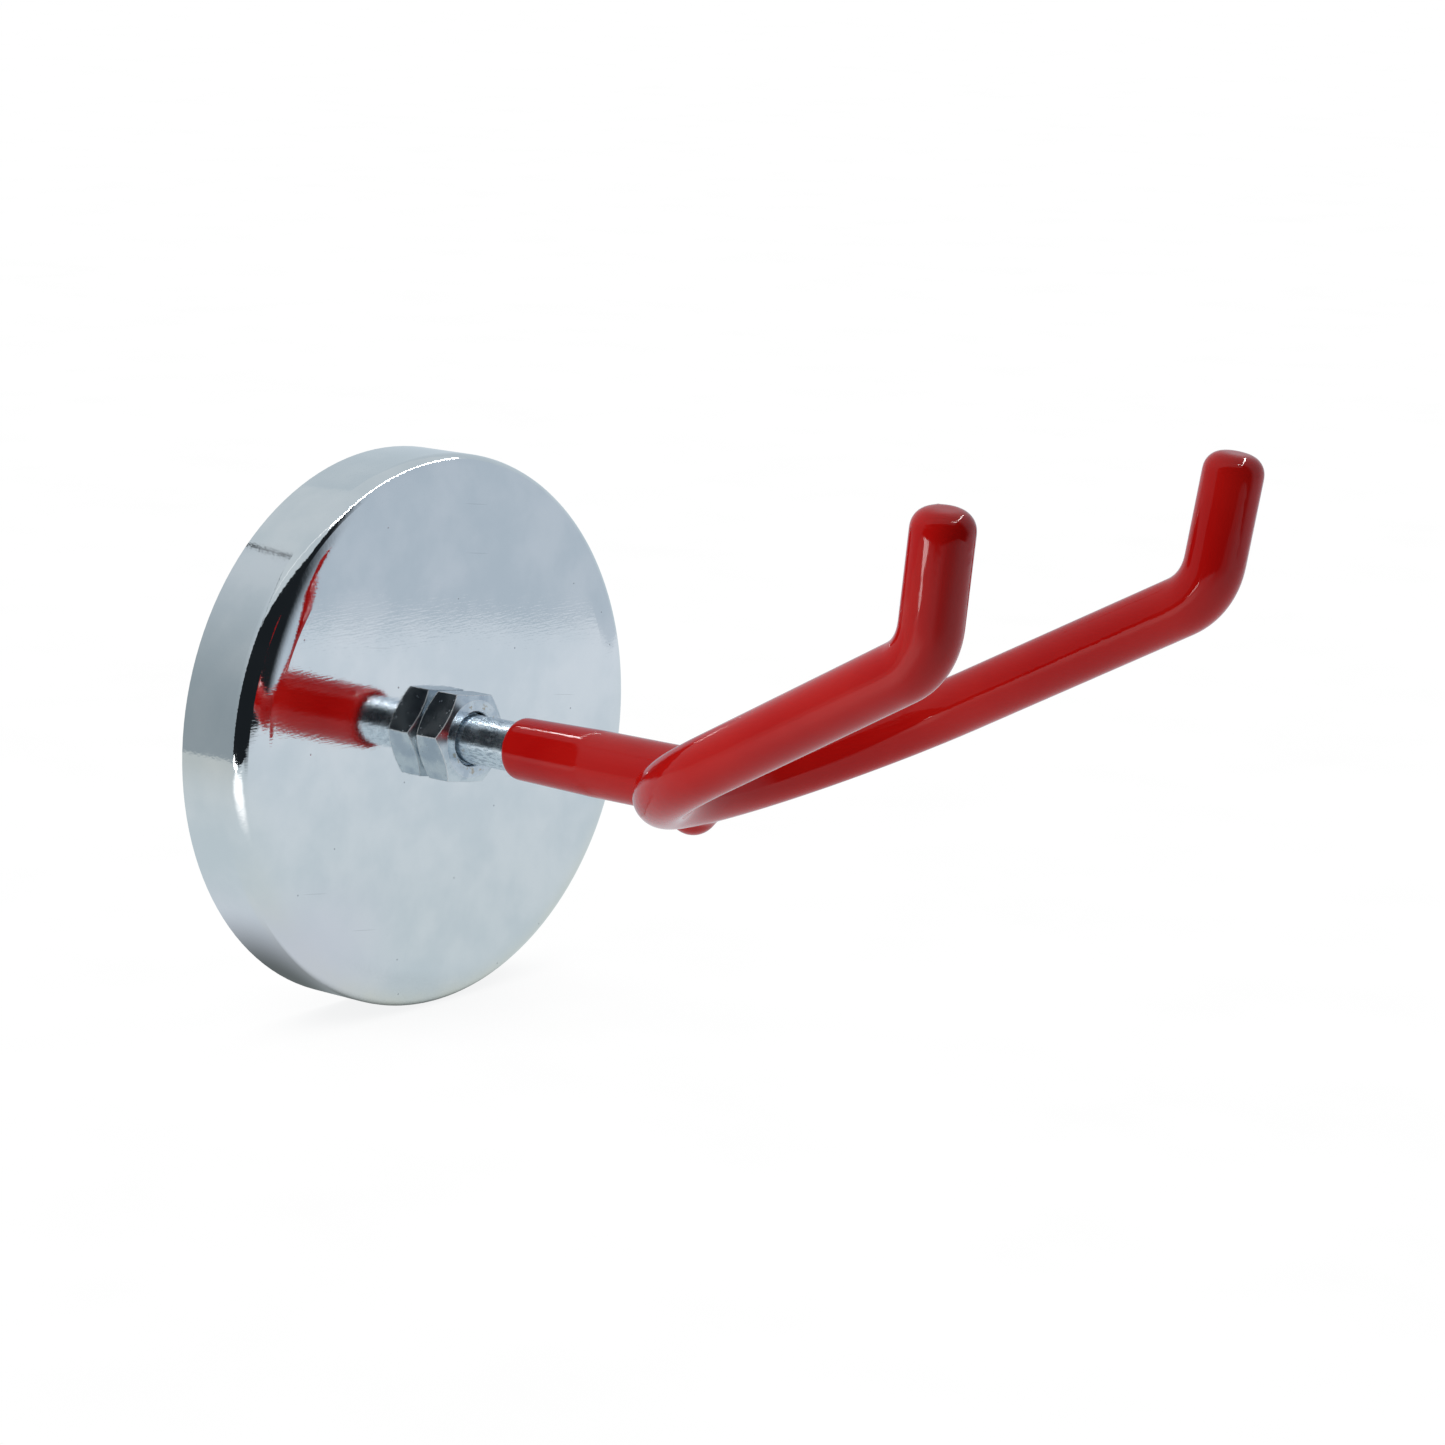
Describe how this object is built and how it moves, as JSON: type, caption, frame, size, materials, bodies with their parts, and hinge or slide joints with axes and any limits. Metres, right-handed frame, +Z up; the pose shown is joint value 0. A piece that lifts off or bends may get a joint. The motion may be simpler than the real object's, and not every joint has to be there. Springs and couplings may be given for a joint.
{
  "type": "magnetic hook",
  "caption": "Round pot magnet with a nutted stem that carries a dip-coated wire fork, two rising prongs with upturned tips, for hanging tools on a steel wall.",
  "frame": {"origin": "centre of the magnet's contact plane, on the stem's axis", "axes": "+X along the stem, away from the wall; +Z up; the prongs spread along +Y and -Y"},
  "size_m": [0.1299, 0.0812, 0.0907],
  "materials": {
    "chrome_plate": "mirror chrome plate with fine polishing lines",
    "ferrite": "ground sintered ferrite, matt",
    "epoxy": "cured epoxy, dull",
    "zinc_plate": "bright zinc plate",
    "bare_steel": "mill finish under the coat",
    "red_plastisol": "glossy dipped plastisol, soft"
  },
  "bodies": {
    "magnet": {"magnet_cup": "chrome_plate", "ring_magnet": "ferrite", "magnet_adhesive": "epoxy"},
    "hook": {"stem_rod": "zinc_plate", "rear_nut": "zinc_plate", "prong_rod": "bare_steel", "weld_bead": "bare_steel", "dipped_coat": "red_plastisol"},
    "lock_nut": {"lock_nut": "zinc_plate"}
  },
  "joints": [
    {"name": "hook_swivel", "type": "hinge", "parent": "magnet", "child": "hook", "pos_m": [0.0127, 0, 0], "axis": [1, 0, 0], "continuous": true},
    {"name": "lock_nut_turn", "type": "hinge", "parent": "hook", "child": "lock_nut", "pos_m": [0.0127, 0, 0], "axis": [1, 0, 0], "range_deg": [0, 180]}
  ]
}
